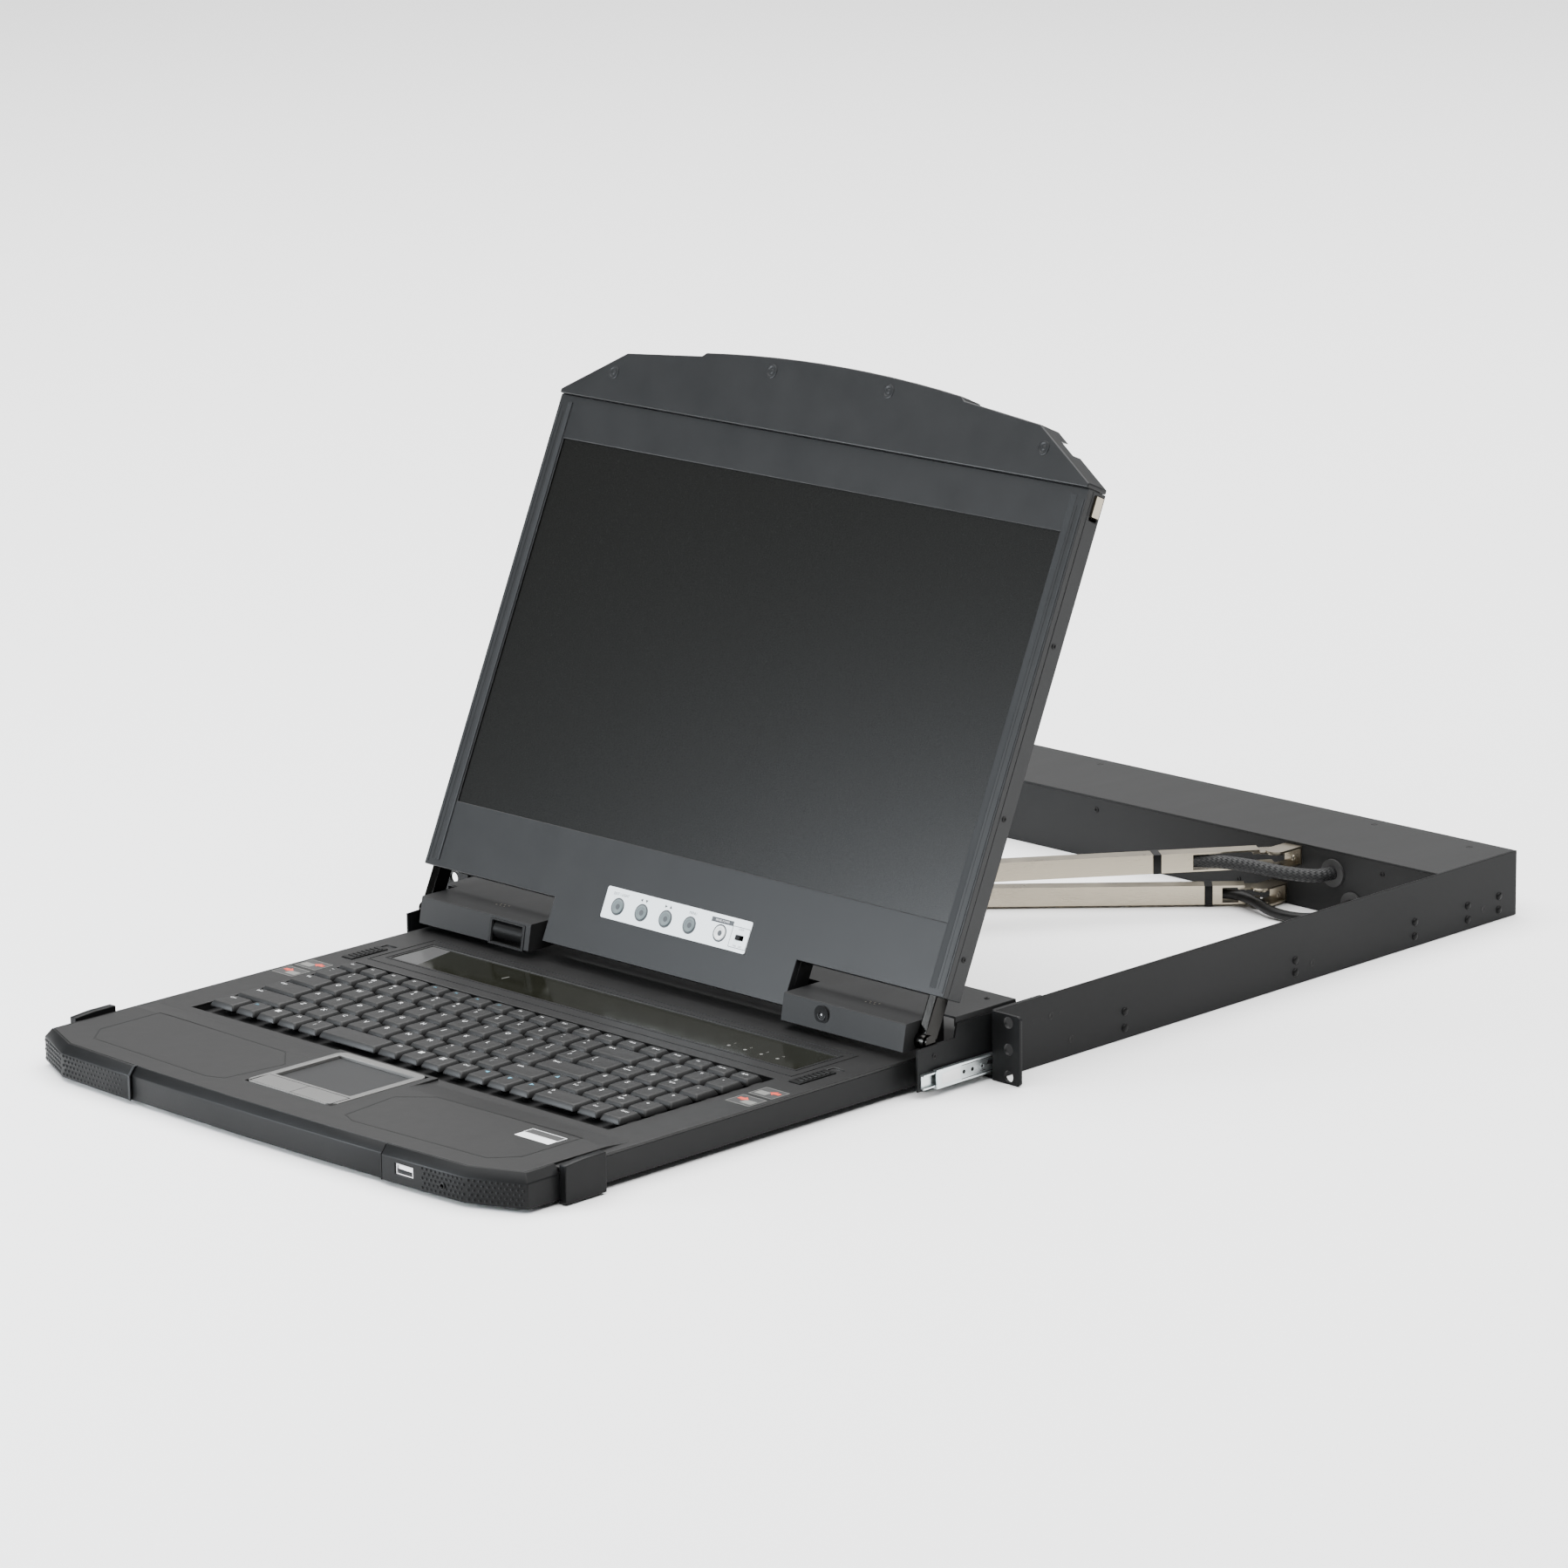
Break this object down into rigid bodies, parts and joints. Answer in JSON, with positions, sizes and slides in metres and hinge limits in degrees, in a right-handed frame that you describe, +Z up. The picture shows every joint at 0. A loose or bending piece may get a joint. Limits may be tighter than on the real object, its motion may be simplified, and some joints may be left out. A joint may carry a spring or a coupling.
{
  "type": "rackmount lcd console drawer",
  "caption": "Rack drawer with a folding widescreen display, a keyboard with touchpad and two folding cable arms, shown pulled out with its lid open.",
  "frame": {"origin": "centre of the pattern of rack ear holes, on the rear face of the ears", "axes": "+X to the operator's right, +Y back into the rack, +Z up"},
  "size_m": [0.4826, 0.8362, 0.3698],
  "materials": {
    "housing_paint": "satin black powder coat",
    "cover_paint": "satin dark grey powder coat",
    "tray_paint": "satin black powder coat",
    "deck_paint": "matte black",
    "grip_plastic": "satin black plastic",
    "lid_plastic": "satin charcoal plastic",
    "screen_glass": "dark screen, switched off",
    "silver_plate": "satin silver",
    "button_grey": "grey-green plastic",
    "button_white": "white plastic",
    "switch_dark": "black plastic",
    "zinc": "zinc plated",
    "nickel": "nickel plated",
    "chrome": "polished",
    "key_plastic": "matte black key plastic",
    "pad_bezel": "satin silver plastic",
    "pad_surface": "fine matte plastic",
    "window_plastic": "smoked window",
    "socket_metal": "tinned steel",
    "socket_black": "black plastic",
    "board": "green circuit board",
    "rubber": "black rubber",
    "braid": "black braided sleeve",
    "cable_jacket": "black cable jacket"
  },
  "bodies": {
    "chassis": {"side_plate_right": "housing_paint", "side_plate_left": "housing_paint", "electronics_box": "housing_paint", "electronics_box_cover": "cover_paint", "outer_slide_channels": "zinc", "main_circuit_board": "board", "power_supply": "socket_metal", "rear_sockets": "socket_black", "arm_brackets": "nickel", "cable_grommets": "rubber", "video_cable_tail": "braid", "keyboard_cable_tail": "cable_jacket"},
    "lcd_slide_middles": {"lcd_slide_middle": "zinc"},
    "lcd_carriage": {"lcd_slide_inner": "zinc", "carriage_cover": "cover_paint", "carriage_side_plates": "housing_paint", "friction_hinges": "chrome", "round_jack": "socket_black"},
    "pod_rocker": {"pod_rocker_switch": "switch_dark"},
    "lcd_lid": {"lcd_bezel": "lid_plastic", "lcd_back_shell": "lid_plastic", "lcd_panel": "screen_glass", "osd_plate": "silver_plate", "lcd_handle": "lid_plastic", "hinge_arms": "chrome"},
    "osd_exit": {"osd_button_exit": "button_grey"},
    "osd_down": {"osd_button_down": "button_grey"},
    "osd_up": {"osd_button_up": "button_grey"},
    "osd_menu": {"osd_button_menu": "button_grey"},
    "panel_power": {"panel_power_button": "button_white"},
    "panel_lock": {"panel_lock_switch": "switch_dark"},
    "side_latches": {"lcd_latches": "switch_dark"},
    "rear_switch": {"rear_power_switch": "switch_dark"},
    "drawer_slide_middles": {"drawer_slide_middle": "zinc"},
    "keyboard_drawer": {"drawer_slide_inner": "zinc", "drawer_pan": "tray_paint", "drawer_top": "deck_paint", "handle_bar": "grip_plastic", "handle_caps": "grip_plastic", "side_hooks": "grip_plastic", "usb_socket": "socket_metal", "touchpad_bezel": "pad_bezel", "touchpad": "pad_surface", "status_window": "window_plastic", "keyboard_base": "key_plastic"},
    "touch_left": {"touch_button_left": "pad_bezel"},
    "touch_right": {"touch_button_right": "pad_bezel"},
    "key_block_main": {"main_keys": "key_plastic"},
    "key_block_space": {"space_bar": "key_plastic"},
    "key_block_pad": {"number_pad_keys": "key_plastic"},
    "catch_right": {"release_catch_right": "switch_dark"},
    "catch_left": {"release_catch_left": "switch_dark"},
    "upper_rear_link": {"upper_arm_rear_link": "nickel", "video_cable_rear_run": "braid"},
    "upper_front_link": {"upper_arm_front_link": "nickel", "video_cable_front_run": "cable_jacket"},
    "lower_rear_link": {"lower_arm_rear_link": "nickel", "keyboard_cable_rear_run": "cable_jacket"},
    "lower_front_link": {"lower_arm_front_link": "nickel", "keyboard_cable_front_run": "cable_jacket"}
  },
  "joints": [
    {"name": "lcd_slide", "type": "slide", "parent": "chassis", "child": "lcd_carriage", "axis": [0, 1, 0], "range_m": [0, 0.368]},
    {"name": "lcd_slide_middle_travel", "type": "slide", "parent": "chassis", "child": "lcd_slide_middles", "axis": [0, 1, 0], "range_m": [0, 0.184]},
    {"name": "drawer_slide", "type": "slide", "parent": "chassis", "child": "keyboard_drawer", "axis": [0, 1, 0], "range_m": [0, 0.322]},
    {"name": "drawer_slide_middle_travel", "type": "slide", "parent": "chassis", "child": "drawer_slide_middles", "axis": [0, 1, 0], "range_m": [0, 0.161]},
    {"name": "lid_hinge", "type": "hinge", "parent": "lcd_carriage", "child": "lcd_lid", "pos_m": [0, -0.045, 0.0098], "axis": [1, 0, 0], "range_deg": [-3.7, 114.3]},
    {"name": "exit_button_press", "type": "slide", "parent": "lcd_lid", "child": "osd_exit", "axis": [0, 0.9114, -0.4115], "range_m": [0, 0.0005], "stiffness_N_per_m": 1500, "springref_m": -0.001},
    {"name": "down_button_press", "type": "slide", "parent": "lcd_lid", "child": "osd_down", "axis": [0, 0.9114, -0.4115], "range_m": [0, 0.0005], "stiffness_N_per_m": 1500, "springref_m": -0.001},
    {"name": "up_button_press", "type": "slide", "parent": "lcd_lid", "child": "osd_up", "axis": [0, 0.9114, -0.4115], "range_m": [0, 0.0005], "stiffness_N_per_m": 1500, "springref_m": -0.001},
    {"name": "menu_button_press", "type": "slide", "parent": "lcd_lid", "child": "osd_menu", "axis": [0, 0.9114, -0.4115], "range_m": [0, 0.0005], "stiffness_N_per_m": 1500, "springref_m": -0.001},
    {"name": "panel_power_press", "type": "slide", "parent": "lcd_lid", "child": "panel_power", "axis": [0, 0.9114, -0.4115], "range_m": [0, 0.0005], "stiffness_N_per_m": 1500, "springref_m": -0.001},
    {"name": "panel_lock_slide", "type": "slide", "parent": "lcd_lid", "child": "panel_lock", "axis": [1, 0, 0], "range_m": [0, 0.0022]},
    {"name": "side_latch_slide", "type": "slide", "parent": "lcd_lid", "child": "side_latches", "axis": [0, -0.4115, -0.9114], "range_m": [0, 0.002], "stiffness_N_per_m": 400, "springref_m": -0.002},
    {"name": "pod_rocker_tilt", "type": "hinge", "parent": "lcd_carriage", "child": "pod_rocker", "pos_m": [-0.126, -0.05, 0.0114], "axis": [1, 0, 0], "range_deg": [-8, 8]},
    {"name": "rear_switch_tilt", "type": "hinge", "parent": "chassis", "child": "rear_switch", "pos_m": [0.145, 0.4662, 0], "axis": [1, 0, 0], "range_deg": [-8, 8]},
    {"name": "touch_left_press", "type": "slide", "parent": "keyboard_drawer", "child": "touch_left", "axis": [0, 0, -1], "range_m": [0, 0.0006], "stiffness_N_per_m": 600, "springref_m": -0.001},
    {"name": "touch_right_press", "type": "slide", "parent": "keyboard_drawer", "child": "touch_right", "axis": [0, 0, -1], "range_m": [0, 0.0006], "stiffness_N_per_m": 600, "springref_m": -0.001},
    {"name": "main_keys_press", "type": "slide", "parent": "keyboard_drawer", "child": "key_block_main", "axis": [0, 0, -1], "range_m": [0, 0.002], "stiffness_N_per_m": 1000, "springref_m": -0.003},
    {"name": "space_bar_press", "type": "slide", "parent": "keyboard_drawer", "child": "key_block_space", "axis": [0, 0, -1], "range_m": [0, 0.002], "stiffness_N_per_m": 300, "springref_m": -0.002},
    {"name": "number_pad_keys_press", "type": "slide", "parent": "keyboard_drawer", "child": "key_block_pad", "axis": [0, 0, -1], "range_m": [0, 0.002], "stiffness_N_per_m": 600, "springref_m": -0.003},
    {"name": "right_catch_slide", "type": "slide", "parent": "keyboard_drawer", "child": "catch_right", "axis": [0, 1, 0], "range_m": [0, 0.007], "stiffness_N_per_m": 200, "springref_m": -0.002},
    {"name": "left_catch_slide", "type": "slide", "parent": "keyboard_drawer", "child": "catch_left", "axis": [0, 1, 0], "range_m": [0, 0.007], "stiffness_N_per_m": 200, "springref_m": -0.002},
    {"name": "upper_arm_root", "type": "hinge", "parent": "chassis", "child": "upper_rear_link", "pos_m": [0.105, 0.378, 0], "axis": [0, 0, 1], "range_deg": [-52.7, 0.5], "deforming": ["video_cable_tail"]},
    {"name": "upper_arm_elbow", "type": "hinge", "parent": "upper_rear_link", "child": "upper_front_link", "pos_m": [-0.03789, 0.18766, 0], "axis": [0, 0, 1], "range_deg": [-0.5, 107.3], "deforming": ["video_cable_front_run"]},
    {"name": "lower_arm_root", "type": "hinge", "parent": "chassis", "child": "lower_rear_link", "pos_m": [0.093, 0.378, 0], "axis": [0, 0, 1], "range_deg": [-44, 0.5], "deforming": ["keyboard_cable_tail"]},
    {"name": "lower_arm_elbow", "type": "hinge", "parent": "lower_rear_link", "child": "lower_front_link", "pos_m": [-0.07698, 0.21142, 0], "axis": [0, 0, 1], "range_deg": [-0.5, 89.5], "deforming": ["keyboard_cable_front_run"]}
  ],
  "couplings": [
    {"joint": "lcd_slide_middle_travel", "follows": "lcd_slide", "ratio": 0.5},
    {"joint": "drawer_slide_middle_travel", "follows": "drawer_slide", "ratio": 0.5},
    {"joint": "upper_arm_root", "follows": "lcd_slide", "rad_per_m": -2.4925},
    {"joint": "upper_arm_elbow", "follows": "lcd_slide", "rad_per_m": 5.0806},
    {"joint": "lower_arm_root", "follows": "drawer_slide", "rad_per_m": -2.3779},
    {"joint": "lower_arm_elbow", "follows": "drawer_slide", "rad_per_m": 4.8448}
  ]
}
